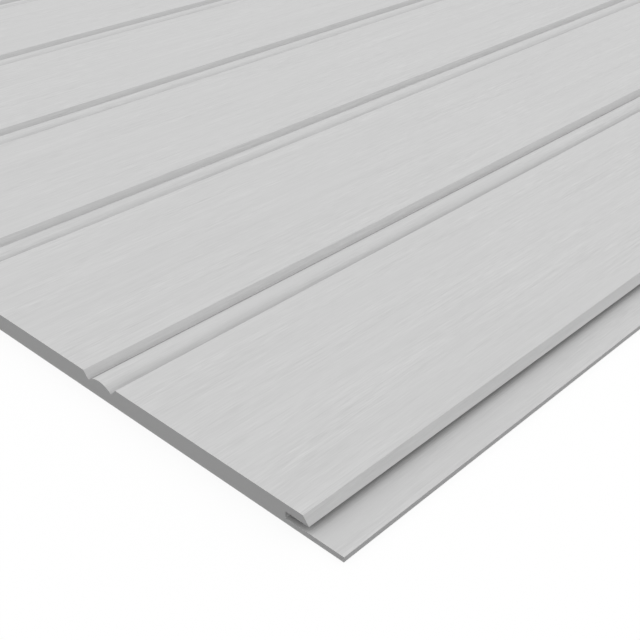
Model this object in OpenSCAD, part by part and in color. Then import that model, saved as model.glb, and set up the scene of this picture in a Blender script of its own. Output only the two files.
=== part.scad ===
// Beadboard wall panel: one sheet of cellular PVC whose face is milled into wide flat
// boards, with a beaded groove between neighbouring boards.
//
// The panel lies on its back. Its length runs along Y, its width along X and its thickness
// along Z. The origin is the middle of its footprint, on its back.
//
// The whole panel is one section, drawn across its width and carried along its length.
// In the section, x = 0 is the foot of the right edge's lip and y is the height above the
// back. Going left, a groove starts every groove_pitch, and each has its own zero at the
// foot of its bevel. The right edge is the bevel side of one such groove and the left edge
// is the bead side of another, so two panels that are pushed together close into one more
// groove like the rest.

/* [Panel] */
// Length of the panel, along its grooves
panel_l = 2438; // [600:1:4880]
// Thickness of the panel, from its back to its flat boards
panel_t = 9.5; // [9:0.1:16]
// Number of boards that the grooves mark out
board_count = 9; // [1:1:12]
// Distance from one groove to the next
groove_pitch = 132; // [70:1:250]

/* [Beaded groove] */
// Depth of the two quirks that part the bead from its boards
quirk_depth = 3.8; // [2.5:0.1:4.2]
// Width of the bevel that leads down from a board to the first quirk
bevel_w = 3; // [1:0.1:5]
// Width of the bead, from quirk to quirk
bead_w = 16; // [10:0.5:20]
// How far the crown of the bead lies below the flat boards
crown_drop = 0.7; // [0.2:0.1:1.5]
// Width of the slope that climbs from the second quirk to the next board
slope_w = 3.4; // [1:0.1:5]

/* [Right edge] */
// Width of the nailing flange, from the foot of the lip to its outer edge
flange_w = 17; // [10:0.5:30]
// Height of the slot between the flange and the lip
slot_h = 3.2; // [2:0.1:3.6]
// Depth of the slot, from the foot of the lip
slot_depth = 12; // [6:0.2:20]

/* [Left edge] */
// Gap above and below a tongue in its slot, and between a nose and the flange under it
seat_gap = 0.1; // [0.05:0.05:0.3]
// Gap between the tip of a tongue and the end of its slot
tip_gap = 0.4; // [0:0.1:1]
// Gap between the edge of a flange and the end of the rebate over it
rebate_gap = 0.3; // [0:0.1:1]
// Lead-in chamfer on the two corners of the tongue's tip
lead_in = 0.5; // [0.1:0.1:0.7]

/* [Colour] */
// Grey of the stock, from black to white
stock_grey = 0.81; // [0:0.01:1]

/* [Hidden] */

// Height of the quirks, which is also the height of the lip's underside
quirk_z = panel_t - quirk_depth;
// The flange is what the slot and the lip leave of the thickness
flange_t = panel_t - quirk_depth - slot_h;

// The bead is one arc through its two quirks and its crown
bead_rise = quirk_depth - crown_drop;
bead_r = (pow(bead_w / 2, 2) + pow(bead_rise, 2)) / (2 * bead_rise);

// The tongue fills the slot of the next panel, less the gaps
tongue_l = slot_depth - tip_gap;
tongue_t = slot_h - 2 * seat_gap;
tongue_z = flange_t + seat_gap;

// Reach of the section on either side of the lip's foot
section_left = -board_count * groove_pitch - tongue_l;
section_right = flange_w;

// Cuts run from just below the quirks, inside the bead, to just above the face
overcut = 1;
cut_top = panel_t + overcut;
cut_foot = quirk_z - 0.5;

// Where a groove has its zero: 0 is the right edge's lip, board_count is the left edge
function groove_x(index) = -index * groove_pitch;

// Places of a groove's two walls at a height above the back
function bevel_x(height) = -bevel_w * (height - quirk_z) / quirk_depth;
function slope_x(height) = bead_w + slope_w * (height - quirk_z) / quirk_depth;

// The disc whose upper arc is the surface of the bead
module bead_disc() {
    translate([bead_w / 2, quirk_z + bead_rise - bead_r])
        circle(r = bead_r, $fn = 180);
}

// The room that one groove takes from the face: a bevel and a slope with the bead between
module groove_cut() {
    difference() {
        polygon([
            [bevel_x(cut_top), cut_top],
            [bevel_x(cut_foot), cut_foot],
            [slope_x(cut_foot), cut_foot],
            [slope_x(cut_top), cut_top]
        ]);
        bead_disc();
    }
}

// The room over the nailing flange, bounded by the lip's bevel, and the slot behind it
module right_edge_cut() {
    polygon([
        [bevel_x(cut_top), cut_top],
        [0, quirk_z],
        [-slot_depth, quirk_z],
        [-slot_depth, flange_t],
        [flange_w + overcut, flange_t],
        [flange_w + overcut, cut_top]
    ]);
}

// The room over the tongue and the bead, and the rebate for the next panel's flange
module left_edge_cut() {
    // Over the tongue and the bead, as far as the slope of the first board
    difference() {
        polygon([
            [-tongue_l - overcut, cut_top],
            [-tongue_l - overcut, tongue_z + tongue_t],
            [bead_w / 2, tongue_z + tongue_t],
            [slope_x(cut_foot), cut_foot],
            [slope_x(cut_top), cut_top]
        ]);
        bead_disc();
    }
    // Under the tongue and under the bead, as far as the next panel's flange reaches
    translate([-tongue_l - overcut, -overcut])
        square([tongue_l + overcut + flange_w + rebate_gap, overcut + tongue_z]);
    // The lead-in on the upper and the lower corner of the tongue's tip
    for (side = [-1, 1])
        translate([-tongue_l, tongue_z + tongue_t / 2])
            polygon([
                [-overcut, side * (tongue_t / 2 - lead_in - overcut)],
                [-overcut, side * (tongue_t / 2 + overcut)],
                [lead_in + overcut, side * (tongue_t / 2 + overcut)]
            ]);
}

// The section of the panel, from the tip of its tongue to the edge of its flange
module panel_section() {
    difference() {
        translate([section_left, 0])
            square([section_right - section_left, panel_t]);
        right_edge_cut();
        for (index = [1 : 1 : board_count - 1])
            translate([groove_x(index), 0]) groove_cut();
        translate([groove_x(board_count), 0]) left_edge_cut();
    }
}

// The panel, its section carried along its length and set over the middle of its footprint
module panel() {
    color([stock_grey, stock_grey, stock_grey])
        translate([-(section_left + section_right) / 2, panel_l / 2, 0])
            rotate([90, 0, 0])
                linear_extrude(panel_l) panel_section();
}

panel();
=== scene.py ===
"""Dresses the beadboard wall panel and lights it as in the photograph.

The panel is one sheet of light grey cellular PVC. Its section is worked out here as one closed
outline, with the small easing that a milled arris has, and carried along the length. Every
milled or extruded surface has a fine grain along the panel, and the sawn ends and outer edges
are plain.
"""
import logging
import math
from dataclasses import dataclass, field
from enum import Enum

import bpy
import numpy as np
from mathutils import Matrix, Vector, geometry


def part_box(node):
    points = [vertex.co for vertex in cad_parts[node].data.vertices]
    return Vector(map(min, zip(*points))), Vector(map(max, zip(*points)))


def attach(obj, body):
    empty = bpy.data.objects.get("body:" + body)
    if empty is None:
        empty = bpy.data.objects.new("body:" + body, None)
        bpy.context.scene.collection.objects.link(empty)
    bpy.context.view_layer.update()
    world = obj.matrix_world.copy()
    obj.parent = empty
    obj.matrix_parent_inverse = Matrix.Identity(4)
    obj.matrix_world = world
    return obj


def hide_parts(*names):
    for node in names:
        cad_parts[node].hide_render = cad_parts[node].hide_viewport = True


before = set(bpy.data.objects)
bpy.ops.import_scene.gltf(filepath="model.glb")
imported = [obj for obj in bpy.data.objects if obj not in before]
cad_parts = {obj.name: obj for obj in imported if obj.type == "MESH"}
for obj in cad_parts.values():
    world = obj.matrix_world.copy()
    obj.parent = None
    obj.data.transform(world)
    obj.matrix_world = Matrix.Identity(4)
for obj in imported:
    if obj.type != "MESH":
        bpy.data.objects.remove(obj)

MM = 0.001
NEARLY_ZERO = 1e-12
WHITE = (1.0, 1.0, 1.0, 1.0)
PAINTED_SHADE_AND_LIGHT = "painted_shade_and_light"
log = logging.getLogger("beadboard")

Number = bpy.types.NodeSocket | float


class Surface(Enum):
    """The kinds of surface on the panel, in the order of its material slots."""

    GRAINED = 0
    SAWN = 1


def cross(first: np.ndarray, second: np.ndarray) -> np.ndarray:
    """The cross product of vectors in the plane: x times z, less z times x."""
    return first[..., 0] * second[..., 1] - first[..., 1] * second[..., 0]


@dataclass(frozen=True)
class StreakLayer:
    """One layer of the grain: noise stretched along the panel, sizes in metres."""

    width: float
    length: float
    strength: float
    detail: float = 1.0
    offset: float = 0.0


class NodeSheet:
    """A node tree, with short calls for adding and joining its nodes."""

    def __init__(self, owner: bpy.types.Material | bpy.types.World) -> None:
        """Clears the tree and keeps it.

        Args:
            owner: the material or the world whose nodes are laid out.
        """
        owner.use_nodes = True
        self.tree = owner.node_tree
        self.tree.nodes.clear()

    def add(self, kind: str, **settings: object) -> bpy.types.Node:
        """Adds a node.

        Args:
            kind: the node's Blender type.
            settings: attributes of the node, by name.

        Returns:
            The new node.
        """
        node = self.tree.nodes.new(kind)
        for name, value in settings.items():
            setattr(node, name, value)
        return node

    def join(self, source: bpy.types.NodeSocket, target: bpy.types.NodeSocket) -> None:
        """Links an output socket to an input socket."""
        self.tree.links.new(source, target)

    def calculate(self, operation: str, first: Number, second: Number) -> bpy.types.NodeSocket:
        """Adds a Math node.

        Args:
            operation: the Math node's operation.
            first: the first operand, a socket or a number.
            second: the second operand, a socket or a number.

        Returns:
            The node's output socket.
        """
        node = self.add("ShaderNodeMath", operation=operation)
        for socket, value in zip(node.inputs, (first, second)):
            if isinstance(value, bpy.types.NodeSocket):
                self.join(value, socket)
            else:
                socket.default_value = value
        return node.outputs[0]

    def streaks(self, place: bpy.types.NodeSocket, layer: StreakLayer) -> bpy.types.NodeSocket:
        """Adds one layer of streaks that run along Y.

        Args:
            place: the object coordinates.
            layer: how wide and how long its streaks are.

        Returns:
            The layer's value, centred on zero and about its strength either way.
        """
        stretch = self.add("ShaderNodeMapping")
        stretch.inputs["Location"].default_value = (layer.offset, 0.0, 0.0)
        stretch.inputs["Scale"].default_value = (1 / layer.width, 1 / layer.length, 1 / layer.width)
        self.join(place, stretch.inputs["Vector"])
        noise = self.add("ShaderNodeTexNoise")
        noise.inputs["Scale"].default_value = 1.0
        noise.inputs["Detail"].default_value = layer.detail
        noise.inputs["Roughness"].default_value = 0.5
        self.join(stretch.outputs["Vector"], noise.inputs["Vector"])
        centred = self.calculate("SUBTRACT", noise.outputs["Fac"], 0.5)
        return self.calculate("MULTIPLY", centred, 2 * layer.strength)

    def principled(self, grey: bpy.types.NodeSocket) -> bpy.types.Node:
        """Adds a Principled shader of one grey and makes it the material's surface.

        Args:
            grey: the value of the colour's three parts.

        Returns:
            The shader's node.
        """
        colour = self.add("ShaderNodeCombineColor")
        for name in ("Red", "Green", "Blue"):
            self.join(grey, colour.inputs[name])
        shader = self.add("ShaderNodeBsdfPrincipled")
        self.join(colour.outputs["Color"], shader.inputs["Base Color"])
        self.show(shader.outputs["BSDF"])
        return shader

    def show(self, surface: bpy.types.NodeSocket) -> None:
        """Makes a shader the material's surface."""
        out = self.add("ShaderNodeOutputMaterial")
        self.join(surface, out.inputs["Surface"])

    def emboss(self, shader: bpy.types.Node, height: bpy.types.NodeSocket, relief: float) -> None:
        """Gives a shader a relief.

        Args:
            shader: the shader's node.
            height: a pattern.
            relief: height in metres where the pattern is one.
        """
        bump = self.add("ShaderNodeBump")
        bump.inputs["Distance"].default_value = relief
        self.join(height, bump.inputs["Height"])
        self.join(bump.outputs["Normal"], shader.inputs["Normal"])

    def sum_of_streaks(self, place: bpy.types.NodeSocket,
                       layers: tuple[StreakLayer, ...]) -> bpy.types.NodeSocket:
        """Adds several layers of streaks and their sum.

        Args:
            place: the object coordinates.
            layers: the layers, at least one.

        Returns:
            The sum of the layers' values.
        """
        total = self.streaks(place, layers[0])
        for layer in layers[1:]:
            total = self.calculate("ADD", total, self.streaks(place, layer))
        return total


@dataclass(frozen=True)
class GrainedFinish:
    """The milled surface of cellular PVC: matt, with fine streaks along the panel.

    The relief is the height that a streak of strength one would have.
    """

    grey: float = 0.592
    roughness: float = 0.62
    relief: float = 0.3 * MM
    fine: tuple[StreakLayer, ...] = (
        StreakLayer(width=0.5 * MM, length=11 * MM, strength=0.12),
        StreakLayer(width=1.0 * MM, length=36 * MM, strength=0.085, offset=1.9),
    )
    patches: StreakLayer = StreakLayer(width=12 * MM, length=110 * MM, strength=1.1, offset=29.6)
    patch_level: float = 0.7
    faintest: float = 0.25
    broad: tuple[StreakLayer, ...] = (
        StreakLayer(width=2.8 * MM, length=80 * MM, strength=0.030, offset=3.7),
        StreakLayer(width=11 * MM, length=330 * MM, strength=0.027, offset=9.1),
    )

    def material(self) -> bpy.types.Material:
        """Builds the material.

        The fine streaks come in patches: their strength is the patch level plus the patches'
        own noise, and never less than the faintest. The broad streaks are added to them.

        Returns:
            A Principled material whose grey, roughness and bump follow the sum of the layers,
            and whose grey is darkened by the painted shade held at the panel's corners, and
            lightened as painted light where that share is below zero.
        """
        made = bpy.data.materials.new("grained_pvc")
        sheet = NodeSheet(made)
        place = sheet.add("ShaderNodeTexCoord").outputs["Object"]
        patch = sheet.calculate("ADD", sheet.streaks(place, self.patches), self.patch_level)
        patch = sheet.calculate("MAXIMUM", patch, self.faintest)
        total = sheet.calculate("MULTIPLY", sheet.sum_of_streaks(place, self.fine), patch)
        total = sheet.calculate("ADD", total, sheet.sum_of_streaks(place, self.broad))
        level = sheet.calculate("ADD", total, 1.0)
        # Painted shade: the corners' share takes grey away in the grooves, quirks, slot and under
        # the lip, and adds it back as painted light at the walls' feet.
        painted_shade_and_light = sheet.add("ShaderNodeAttribute", attribute_name=PAINTED_SHADE_AND_LIGHT).outputs["Fac"]
        unshaded_share = sheet.calculate("SUBTRACT", 1.0, painted_shade_and_light)
        share = sheet.calculate("MULTIPLY", level, unshaded_share)
        shader = sheet.principled(sheet.calculate("MULTIPLY", share, self.grey))
        roughness = sheet.calculate("SUBTRACT", self.roughness, total)
        sheet.join(roughness, shader.inputs["Roughness"])
        sheet.emboss(shader, total, self.relief)
        return made


@dataclass(frozen=True)
class SawnFinish:
    """The sawn end of cellular PVC: matt and even, with the faint pores of its foam."""

    # Painted shade: this grey is a little below the grained grey, which darkens the vertical sawn
    # ends and outer edges beyond their lighting.
    grey: float = 0.575
    roughness: float = 0.75
    pore_size: float = 0.35 * MM
    pore_contrast: float = 0.02
    relief: float = 0.02 * MM

    def material(self) -> bpy.types.Material:
        """Builds the material.

        Returns:
            A Principled material whose grey and bump follow one fine even noise.
        """
        made = bpy.data.materials.new("sawn_pvc")
        sheet = NodeSheet(made)
        place = sheet.add("ShaderNodeTexCoord").outputs["Object"]
        pores = sheet.add("ShaderNodeTexNoise")
        pores.inputs["Scale"].default_value = 1 / self.pore_size
        pores.inputs["Detail"].default_value = 1.0
        sheet.join(place, pores.inputs["Vector"])
        centred = sheet.calculate("SUBTRACT", pores.outputs["Fac"], 0.5)
        contrast = sheet.calculate("MULTIPLY", centred, 2 * self.pore_contrast)
        share = sheet.calculate("ADD", contrast, 1.0)
        shader = sheet.principled(sheet.calculate("MULTIPLY", share, self.grey))
        shader.inputs["Roughness"].default_value = self.roughness
        sheet.emboss(shader, pores.outputs["Fac"], self.relief)
        return made


@dataclass
class BeadedGroove:
    """The groove between two boards: bevel, quirk, bead, quirk and slope, in metres.

    Its zero is the foot of its bevel. x grows to the right and z upwards from the back.
    """

    face_z: float
    quirk_depth: float = 3.8 * MM
    bevel_w: float = 3.0 * MM
    bead_w: float = 16.0 * MM
    crown_drop: float = 0.7 * MM
    slope_w: float = 3.4 * MM
    bead_steps: int = 48

    @property
    def quirk_z(self) -> float:
        """Height of both quirks above the back."""
        return self.face_z - self.quirk_depth

    @property
    def bead_r(self) -> float:
        """Radius of the arc through both quirks and the crown."""
        rise = self.quirk_depth - self.crown_drop
        return ((self.bead_w / 2) ** 2 + rise**2) / (2 * rise)

    @property
    def bead_centre(self) -> tuple[float, float]:
        """Centre of the bead's arc."""
        return self.bead_w / 2, self.face_z - self.crown_drop - self.bead_r

    def bead(self, end_z: float) -> np.ndarray:
        """The bead's arc from its right quirk over its crown to a height on its left.

        A point is the centre plus the radius at an angle, and the angle goes in even steps
        from that of the right quirk to that at which the arc comes down to end_z.

        Args:
            end_z: height at which the arc ends on the left.

        Returns:
            Points as rows of x and z.
        """
        centre_x, centre_z = self.bead_centre
        start = math.asin((self.quirk_z - centre_z) / self.bead_r)
        end = math.pi - math.asin((end_z - centre_z) / self.bead_r)
        angle = np.linspace(start, end, self.bead_steps + 1)
        return np.stack([centre_x + self.bead_r * np.cos(angle),
                         centre_z + self.bead_r * np.sin(angle)], axis=1)

    def right_of_bead(self) -> np.ndarray:
        """The arris at the top of the slope."""
        return np.array([[self.bead_w + self.slope_w, self.face_z]])

    def left_of_bead(self) -> np.ndarray:
        """The arris at the top of the bevel."""
        return np.array([[-self.bevel_w, self.face_z]])


@dataclass
class Outline:
    """A closed outline in the plane of the section, counter-clockwise, with eased corners.

    A strip is the part of the panel's surface between two neighbouring points.
    """

    corners: np.ndarray
    easing: np.ndarray
    steps: int = 4
    smooth_below: float = math.radians(25)
    finest_run: float = 0.4 * MM
    whole_above: float = 40 * MM
    directions: int = 32
    inset_share: float = 0.05
    lift: float = 0.002 * MM
    points: np.ndarray = field(init=False)
    occluders: np.ndarray = field(init=False)

    def __post_init__(self) -> None:
        """Rounds each corner whose easing is more than zero.

        A corner's arc touches both of its sides. Its centre lies on the corner's bisector, and
        its points turn evenly about the centre from one tangent point to the other.
        """
        before = np.roll(self.corners, 1, axis=0) - self.corners
        after = np.roll(self.corners, -1, axis=0) - self.corners
        before /= np.linalg.norm(before, axis=1, keepdims=True)
        after /= np.linalg.norm(after, axis=1, keepdims=True)
        cosine = np.clip((before * after).sum(axis=1), -1.0, 1.0)
        half_angle = np.arccos(cosine) / 2
        bisector = before + after
        reach = np.linalg.norm(bisector, axis=1, keepdims=True)
        straight = np.zeros_like(bisector)
        bisector = np.divide(bisector, reach, out=straight, where=reach > NEARLY_ZERO)
        centre = self.corners + bisector * (self.easing / np.sin(half_angle))[:, None]
        tangent_run = (self.easing / np.tan(half_angle))[:, None]
        first = self.corners + before * tangent_run - centre
        last = self.corners + after * tangent_run - centre
        turn = (math.pi - 2 * half_angle)[:, None]
        share = np.linspace(0.0, 1.0, self.steps + 1)[None, :]
        sine = np.maximum(np.sin(turn), NEARLY_ZERO)
        weight_first = np.sin((1 - share) * turn) / sine
        weight_last = np.sin(share * turn) / sine
        arcs = (centre[:, None, :] + weight_first[..., None] * first[:, None, :]
                + weight_last[..., None] * last[:, None, :])
        kept = np.ones(arcs.shape[:2], dtype=bool)
        kept[:, 1:] = (self.easing > 0)[:, None]
        plain = self.easing <= 0
        arcs[plain] = self.corners[plain][:, None, :]
        self.occluders = arcs[kept]
        self.points = self.divided(self.occluders)

    def divided(self, ring: np.ndarray) -> np.ndarray:
        """Cuts each short straight run into even pieces, and leaves the boards and back whole.

        A run of a length has as many pieces as finest_run goes into it, rounded up, and each
        piece starts at its share of the way from the run's start to its end.

        Args:
            ring: points of the closed outline.

        Returns:
            The points with the new ones between them.
        """
        along = np.roll(ring, -1, axis=0) - ring
        length = np.linalg.norm(along, axis=1)
        pieces = np.where(length < self.whole_above, np.ceil(length / self.finest_run), 1)
        pieces = pieces.astype(int)
        run = np.repeat(np.arange(len(ring)), pieces)
        rank = np.arange(len(run)) - np.repeat(np.cumsum(pieces) - pieces, pieces)
        share = (rank / pieces[run])[:, None]
        return ring[run] + share * along[run]

    def enclosure(self) -> np.ndarray:
        """How much of what each strip faces is the panel itself, at its start and its end.

        The panel is long, so this is worked out in the plane of the section. A place lies a
        little inwards of its end of the strip and a little above it. From there, rays leave at
        angles whose sines are evenly spaced, which weights them as light falling on a matt
        surface. The enclosure is the share of rays that meet the outline.

        Returns:
            Shares from 0 to 1, as one row of start and end for each strip.
        """
        start_normal, end_normal = self.strip_normals()
        following = np.roll(self.points, -1, axis=0)
        inward = self.inset_share * (following - self.points)
        places = np.stack([self.points + inward + self.lift * start_normal,
                           following - inward + self.lift * end_normal], axis=1).reshape(-1, 2)
        normals = np.stack([start_normal, end_normal], axis=1).reshape(-1, 2)
        sine = (np.arange(self.directions) + 0.5) / self.directions * 2 - 1
        cosine = np.sqrt(1 - sine**2)
        side = np.stack([normals[:, 1], -normals[:, 0]], axis=1)
        ray = cosine[None, :, None] * normals[:, None, :] + sine[None, :, None] * side[:, None, :]
        base = self.occluders
        edge = np.roll(base, -1, axis=0) - base
        blocked = np.zeros(ray.shape[:2], dtype=bool)
        for direction in range(self.directions):
            heading = ray[:, direction, None, :]
            offset = base[None, :, :] - places[:, None, :]
            across = cross(heading, edge[None])
            across = np.where(np.abs(across) < NEARLY_ZERO, NEARLY_ZERO, across)
            reach = cross(offset, edge[None]) / across
            share = cross(offset, heading) / across
            meets = (reach > 0) & (share >= 0) & (share <= 1)
            blocked[:, direction] = meets.any(axis=1)
        return blocked.mean(axis=1).reshape(-1, 2)

    def strip_normals(self) -> tuple[np.ndarray, np.ndarray]:
        """Normals of each strip of the outline at its start and at its end.

        Where two strips meet in a shallow angle, both take the mean of their normals, weighted
        by their lengths, so that a wide flat stays flat and an arc shades round. Where they
        meet in a sharp angle, each keeps its own.

        Returns:
            Two arrays of x and z, one row for each strip.
        """
        along = np.roll(self.points, -1, axis=0) - self.points
        length = np.linalg.norm(along, axis=1, keepdims=True)
        normal = np.stack([along[:, 1], -along[:, 0]], axis=1) / length
        earlier = np.roll(normal, 1, axis=0)
        mean = normal * length + earlier * np.roll(length, 1, axis=0)
        mean /= np.linalg.norm(mean, axis=1, keepdims=True)
        is_smooth = ((normal * earlier).sum(axis=1) > math.cos(self.smooth_below))[:, None]
        start = np.where(is_smooth, mean, normal)
        end = np.where(np.roll(is_smooth, -1, axis=0), np.roll(mean, -1, axis=0), normal)
        return start, end


@dataclass
class Panel:
    """The panel: its section carried along its length, in metres in the frame of the part.

    The shade numbers are shares of the grey taken away as painted shade, which near the walls'
    feet turns into painted light, and the quirk's reach is how far the painted dark line at a
    quirk reaches.
    """

    low: Vector
    high: Vector
    pitch: float = 132.0 * MM
    flange_w: float = 17.0 * MM
    slot_h: float = 3.2 * MM
    slot_depth: float = 12.0 * MM
    seat_gap: float = 0.1 * MM
    tip_gap: float = 0.4 * MM
    rebate_gap: float = 0.3 * MM
    lead_in: float = 0.5 * MM
    arris: float = 0.12 * MM
    foot_easing: float = 0.4
    # Painted shade and painted light: the numbers down to the lip's share darken the grooves,
    # quirks, slot and lip's underside and lighten the walls' feet.
    groove_painted_shade: float = 0.40
    wall_painted_shade: float = 0.08
    wall_foot_painted_light: float = 2.8
    quirk_painted_shade: float = 0.55
    quirk_shade_reach: float = 3.35 * MM
    quirk_shade_falloff: int = 12
    slot_painted_shade: float = 0.25
    lip_painted_shade: float = 0.5
    spans: int = 8
    edge_reach: float = 0.01 * MM
    same_place_mm: float = 1e-7

    @property
    def groove(self) -> BeadedGroove:
        """The groove that repeats across the panel."""
        return BeadedGroove(face_z=self.high.z)

    @property
    def tongue_l(self) -> float:
        """Length of the tongue from the foot of the nose."""
        return self.slot_depth - self.tip_gap

    @property
    def board_count(self) -> int:
        """How many pitches fit between the tongue and the flange."""
        cover = self.high.x - self.low.x - self.tongue_l - self.flange_w
        return round(cover / self.pitch)

    def right_edge(self, groove: BeadedGroove) -> tuple[np.ndarray, np.ndarray]:
        """Corners from the flange's underside round the slot to the lip's foot.

        Args:
            groove: the groove whose bevel the lip carries.

        Returns:
            The corners and their easing.
        """
        flange_t = groove.quirk_z - self.slot_h
        corners = np.array([[self.flange_w, 0.0],
                            [self.flange_w, flange_t],
                            [-self.slot_depth, flange_t],
                            [-self.slot_depth, groove.quirk_z],
                            [0.0, groove.quirk_z]])
        return corners, self.arris * np.array([1.0, 1.0, 0.0, 0.0, self.foot_easing])

    def left_edge(self, groove: BeadedGroove) -> tuple[np.ndarray, np.ndarray]:
        """Corners from the first board's slope over the nose and round the tongue and rebate.

        Args:
            groove: the groove whose bead the nose carries.

        Returns:
            The corners and their easing.
        """
        foot = groove.quirk_z - self.slot_h + self.seat_gap
        top = groove.quirk_z - self.seat_gap
        rebate_x = self.flange_w + self.rebate_gap
        nose = groove.bead(end_z=top)
        tongue = np.array([[self.lead_in - self.tongue_l, top],
                           [-self.tongue_l, top - self.lead_in],
                           [-self.tongue_l, foot + self.lead_in],
                           [self.lead_in - self.tongue_l, foot],
                           [rebate_x, foot],
                           [rebate_x, 0.0]])
        corners = np.concatenate([groove.right_of_bead(), nose, tongue])
        easing = np.zeros(len(corners))
        easing[0] = easing[-1] = self.arris
        return corners, easing

    def outline(self) -> Outline:
        """The whole section, from the flange round the face, the tongue and the back.

        The back has a point under the crown of each bead, for the triangles of the ends.

        Returns:
            The eased outline, with x and z in the frame of the part.
        """
        groove = self.groove
        right, right_easing = self.right_edge(groove)
        left, left_easing = self.left_edge(groove)
        bead = groove.bead(end_z=groove.quirk_z)
        cell = np.concatenate([groove.left_of_bead(), groove.right_of_bead() - [self.pitch, 0.0],
                               bead - [self.pitch, 0.0]])
        cell_easing = np.zeros(len(cell))
        cell_easing[:2] = self.arris
        inner = self.board_count - 1
        shift = np.zeros((inner, 1, 2))
        shift[:, 0, 0] = -self.pitch * np.arange(inner)
        cells = (cell[None] + shift).reshape(-1, 2)
        last_x = -self.pitch * inner
        under_crowns = np.zeros((inner, 2))
        under_crowns[:, 0] = groove.bead_centre[0] - self.pitch * np.arange(inner, 0, -1)
        corners = np.concatenate([right, cells, groove.left_of_bead() + [last_x, 0.0],
                                  left + [last_x - self.pitch, 0.0], under_crowns])
        easing = np.concatenate([right_easing, np.tile(cell_easing, inner), [self.arris],
                                 left_easing, np.zeros(inner)])
        corners[:, 0] += self.high.x - self.flange_w
        return Outline(corners=corners, easing=easing)

    def build(self) -> bpy.types.Object:
        """Carries the outline along the length and closes it with the two sawn ends.

        A point of the surface is an outline point at a station, and the stations are even
        steps from the front end to the back end.

        Returns:
            The panel's object, with its surfaces numbered as in Surface.
        """
        outline = self.outline()
        ring = outline.points
        count, stations = len(ring), self.spans + 1
        vertices = np.empty((stations, count, 3))
        vertices[..., 0] = ring[:, 0]
        vertices[..., 1] = np.linspace(self.low.y, self.high.y, stations)[:, None]
        vertices[..., 2] = ring[:, 1]
        index = np.arange(stations * count).reshape(stations, count)
        following = np.roll(index, -1, axis=1)
        quads = np.stack([index[:-1], index[1:], following[1:], following[:-1]], axis=-1)
        filling = self.end_triangles(ring)
        ends = np.concatenate([index[0][filling], index[-1][filling[:, ::-1]]])
        loops = np.concatenate([quads.ravel(), ends.ravel()])
        corner_counts = np.repeat([4, 3], [self.spans * count, len(ends)])
        starts = np.cumsum(corner_counts) - corner_counts
        kinds = self.kinds(ring, len(ends))
        mesh = bpy.data.meshes.new("panel_stock")
        mesh.vertices.add(stations * count)
        mesh.vertices.foreach_set("co", vertices.ravel())
        mesh.loops.add(len(loops))
        mesh.loops.foreach_set("vertex_index", loops.astype(np.int32))
        mesh.polygons.add(len(starts))
        mesh.polygons.foreach_set("loop_start", starts.astype(np.int32))
        mesh.polygons.foreach_set("material_index", kinds.astype(np.int32))
        mesh.update(calc_edges=True)
        self.shade(mesh, outline, len(filling))
        piece = bpy.data.objects.new("panel_stock", mesh)
        bpy.context.scene.collection.objects.link(piece)
        return piece

    def kinds(self, ring: np.ndarray, end_count: int) -> np.ndarray:
        """Numbers the faces by their surface: the two outer edges and the ends are sawn.

        Args:
            ring: points of the section.
            end_count: how many triangles both ends have.

        Returns:
            The value of Surface for each face, in the order of the mesh.
        """
        at_right = ring[:, 0] > self.high.x - self.edge_reach
        at_left = ring[:, 0] < self.low.x + self.edge_reach
        at_edge = at_right | at_left
        is_sawn = at_edge & np.roll(at_edge, -1)
        round_section = np.where(is_sawn, Surface.SAWN.value, Surface.GRAINED.value)
        return np.concatenate([np.tile(round_section, self.spans),
                               np.full(end_count, Surface.SAWN.value)])

    def end_triangles(self, ring: np.ndarray) -> np.ndarray:
        """Fills the section with Delaunay triangles, which are the least narrow ones.

        Args:
            ring: points of the section.

        Returns:
            Triangles as rows of indices into the ring, in its own sense.
        """
        rim = [list(range(len(ring)))]
        within_rim = 1
        places = (ring / MM).tolist()
        filled = geometry.delaunay_2d_cdt(places, [], rim, within_rim, self.same_place_mm)
        return np.array(filled[2])

    def shade(self, mesh: bpy.types.Mesh, outline: Outline, end_count: int) -> None:
        """Gives each corner of each face the normal of the outline, or of the end it lies on, and
        its share of painted shade.

        Args:
            mesh: the panel's mesh, its quads before its two ends.
            outline: the section.
            end_count: how many triangles each end has.
        """
        count = len(outline.points)
        start, end = outline.strip_normals()
        quad = np.zeros((count, 4, 3))
        quad[:, :2, 0], quad[:, :2, 2] = start[:, None, 0], start[:, None, 1]
        quad[:, 2:, 0], quad[:, 2:, 2] = end[:, None, 0], end[:, None, 1]
        ends = np.zeros((2, 3 * end_count, 3))
        ends[0, :, 1], ends[1, :, 1] = -1.0, 1.0
        normals = np.concatenate([np.tile(quad.reshape(-1, 3), (self.spans, 1)),
                                  ends.reshape(-1, 3)])
        mesh.polygons.foreach_set("use_smooth", np.ones(len(mesh.polygons), dtype=bool))
        mesh.normals_split_custom_set(normals)
        # Painted shade and light of each corner, stored for the grained material to darken or
        # lighten its grey.
        quad_share = self.painted_shade_and_light(outline)[:, (0, 0, 1, 1)]
        share = np.zeros(len(normals))
        share[:self.spans * quad_share.size] = np.tile(quad_share.ravel(), self.spans)
        attribute = mesh.attributes.new(PAINTED_SHADE_AND_LIGHT, "FLOAT", "CORNER")
        attribute.data.foreach_set("value", share.astype(np.float32))

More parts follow.
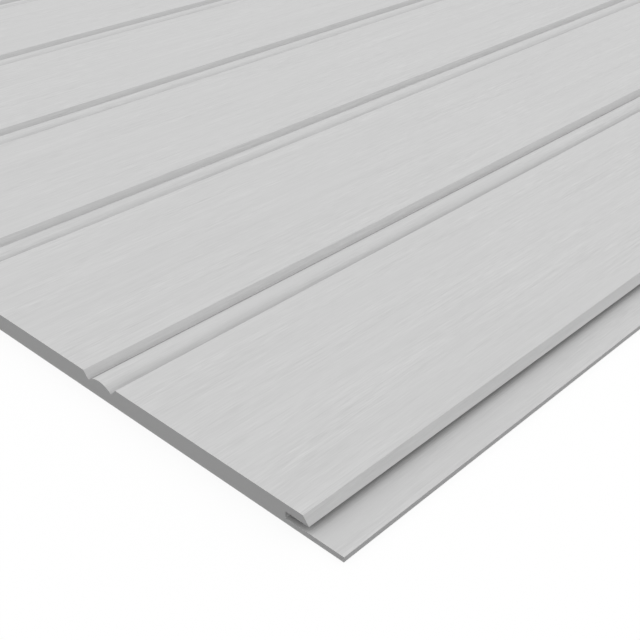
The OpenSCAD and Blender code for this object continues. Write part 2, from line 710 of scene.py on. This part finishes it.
    def painted_shade_and_light(self, outline: Outline) -> np.ndarray:
        """How much painted shade each strip of the outline gets, at its start and its end.

        The painted shade grows with how far the panel itself encloses the place: in proportion
        on the beads and under the lip, and by the square of that on the flange. The quirk at the
        foot of each bevel adds a painted dark line to its bead, which fades by the exponential of
        minus a high power of the distance from the quirk. The walls beside the beads get a little
        more painted shade than the beads at their top, and painted light, lighter than the stock,
        near their foot, where they are enclosed the most.

        Args:
            outline: the section.

        Returns:
            Shares of the grey taken away as painted shade, below zero where they are painted
            light, one row for each strip.
        """
        enclosure = outline.enclosure()
        start, end = outline.points, np.roll(outline.points, -1, axis=0)
        groove = self.groove
        foot_x = self.high.x - self.flange_w
        quirk_x = foot_x - self.pitch * np.arange(1, self.board_count)
        places = np.stack([start, end], axis=1)
        away = np.hypot(places[..., 0, None] - quirk_x, places[..., 1, None] - groove.quirk_z)
        away = away.min(axis=-1) / self.quirk_shade_reach
        # Painted shade: a dark line on each bead beside its quirk, where shade falls.
        line = self.quirk_painted_shade * np.exp(-away**self.quirk_shade_falloff)
        bead = self.groove_painted_shade * enclosure
        # Painted shade at the top of each wall, turning into painted light near its foot.
        wall = (self.wall_painted_shade + bead) * (1 - self.wall_foot_painted_light * enclosure)
        run, rise = (end - start).T
        faces_up = -run > np.abs(rise)
        faces_down = run > np.abs(rise)
        foot = np.minimum(start[:, 1], end[:, 1])
        in_groove = (foot >= groove.quirk_z - self.arris) & ~faces_down
        by_slot = (start[:, 0] > foot_x - self.slot_depth - self.arris) & ~in_groove
        areas = [in_groove & faces_up, in_groove, by_slot & faces_up, by_slot & faces_down]
        # Painted shade on the beads, walls, flange by the slot and lip's underside, by how enclosed
        # each place is.
        return np.select([area[:, None] for area in areas],
                         [bead + line,
                          wall,
                          self.slot_painted_shade * enclosure**2,
                          self.lip_painted_shade * enclosure])


@dataclass
class Studio:
    """A pale floor under an even sky, and the camera of the photograph, in metres."""

    corner: Vector
    camera_offset: Vector = field(default_factory=lambda: Vector((176.5, -199.0, 268.9)) * MM)
    azimuth: float = math.radians(43.387)
    elevation: float = math.radians(32.293)
    lens_mm: float = 58.95
    sensor_mm: float = 36.0
    sky_slope: float = 0.165
    nearest: float = 0.01
    farthest: float = 100.0
    floor_size: float = 60.0
    floor_drop: float = 0.05 * MM
    shadow_share: float = 0.12
    unlit_grey: float = 0.0

    def camera(self) -> bpy.types.Object:
        """Sets up the camera, looking down along the photograph's azimuth and elevation.

        Returns:
            The camera's object.
        """
        lens = bpy.data.cameras.new("camera")
        lens.sensor_width = self.sensor_mm
        lens.lens = self.lens_mm
        lens.clip_start = self.nearest
        lens.clip_end = self.farthest
        camera = bpy.data.objects.new("camera", lens)
        bpy.context.scene.collection.objects.link(camera)
        camera.location = self.corner + self.camera_offset
        back = Vector((math.sin(self.azimuth) * math.cos(self.elevation),
                       -math.cos(self.azimuth) * math.cos(self.elevation),
                       math.sin(self.elevation)))
        camera.rotation_mode = "QUATERNION"
        camera.rotation_quaternion = (-back).to_track_quat("-Z", "Y")
        bpy.context.scene.camera = camera
        return camera

    def sky(self) -> None:
        """Lights the scene with an even white sky, a little brighter behind the panel.

        The sky's strength is one plus a small share of the direction's Y. Seen directly, in a
        reflection or through glass, it is plain white.
        """
        world = bpy.data.worlds.new("studio_sky")
        bpy.context.scene.world = world
        sheet = NodeSheet(world)
        direction = sheet.add("ShaderNodeTexCoord").outputs["Generated"]
        split = sheet.add("ShaderNodeSeparateXYZ")
        sheet.join(direction, split.inputs["Vector"])
        slope = sheet.calculate("MULTIPLY", split.outputs["Y"], self.sky_slope)
        graded = sheet.add("ShaderNodeBackground")
        sheet.join(sheet.calculate("ADD", slope, 1.0), graded.inputs["Strength"])
        plain = sheet.add("ShaderNodeBackground")
        chosen = sheet.add("ShaderNodeMixShader")
        sheet.join(self.is_seen(sheet), chosen.inputs["Fac"])
        sheet.join(graded.outputs["Background"], chosen.inputs[1])
        sheet.join(plain.outputs["Background"], chosen.inputs[2])
        out = sheet.add("ShaderNodeOutputWorld")
        sheet.join(chosen.outputs["Shader"], out.inputs["Surface"])
        for background in (graded, plain):
            background.inputs["Color"].default_value = WHITE

    def is_seen(self, sheet: NodeSheet) -> bpy.types.NodeSocket:
        """One for a ray from the camera, a mirror or a glass, and zero for diffuse light."""
        path = sheet.add("ShaderNodeLightPath")
        direct = sheet.calculate("MAXIMUM", path.outputs["Is Camera Ray"],
                                 path.outputs["Is Glossy Ray"])
        return sheet.calculate("MAXIMUM", direct, path.outputs["Is Transmission Ray"])

    def floor(self) -> bpy.types.Object:
        """Lays the floor just under the panel.

        Seen directly it is white and keeps part of the panel's shadow. To diffuse light it is
        dark, so that it throws none up at the panel's edges, as in the photograph.

        Returns:
            The floor's object.
        """
        half = self.floor_size / 2
        mesh = bpy.data.meshes.new("floor")
        corners = [(-half, -half), (half, -half), (half, half), (-half, half)]
        mesh.from_pydata([(x, y, -self.floor_drop) for x, y in corners], [], [(0, 1, 2, 3)])
        floor = bpy.data.objects.new("floor", mesh)
        bpy.context.scene.collection.objects.link(floor)
        made = bpy.data.materials.new("pale_floor")
        sheet = NodeSheet(made)
        glow = sheet.add("ShaderNodeEmission")
        glow.inputs["Color"].default_value = WHITE
        shadowed = sheet.add("ShaderNodeBsdfDiffuse")
        shadowed.inputs["Color"].default_value = WHITE
        white = sheet.add("ShaderNodeMixShader")
        white.inputs["Fac"].default_value = self.shadow_share
        sheet.join(glow.outputs["Emission"], white.inputs[1])
        sheet.join(shadowed.outputs["BSDF"], white.inputs[2])
        dark = sheet.add("ShaderNodeBsdfDiffuse")
        dark.inputs["Color"].default_value = (self.unlit_grey,) * 3 + (1.0,)
        chosen = sheet.add("ShaderNodeMixShader")
        sheet.join(self.is_seen(sheet), chosen.inputs["Fac"])
        sheet.join(dark.outputs["BSDF"], chosen.inputs[1])
        sheet.join(white.outputs["Shader"], chosen.inputs[2])
        sheet.show(chosen.outputs["Shader"])
        mesh.materials.append(made)
        return floor


def main() -> None:
    """Builds the panel and its studio, and reports each piece."""
    logging.basicConfig(level=logging.INFO, format="%(name)s: %(message)s")
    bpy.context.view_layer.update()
    low, high = (Vector(corner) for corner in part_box("panel"))
    panel = Panel(low=low, high=high)
    piece = panel.build()
    for finish in (GrainedFinish(), SawnFinish()):
        piece.data.materials.append(finish.material())
    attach(piece, "root")
    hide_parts("panel")
    log.info("%s: %d boards, %d faces", piece.name, panel.board_count, len(piece.data.polygons))
    studio = Studio(corner=Vector((high.x, low.y, low.z)))
    studio.camera()
    studio.sky()
    floor = studio.floor()
    log.info("%s: %.0f m square", floor.name, studio.floor_size)
    bpy.context.scene.view_settings.view_transform = "Standard"


if __name__ == "__main__":
    main()
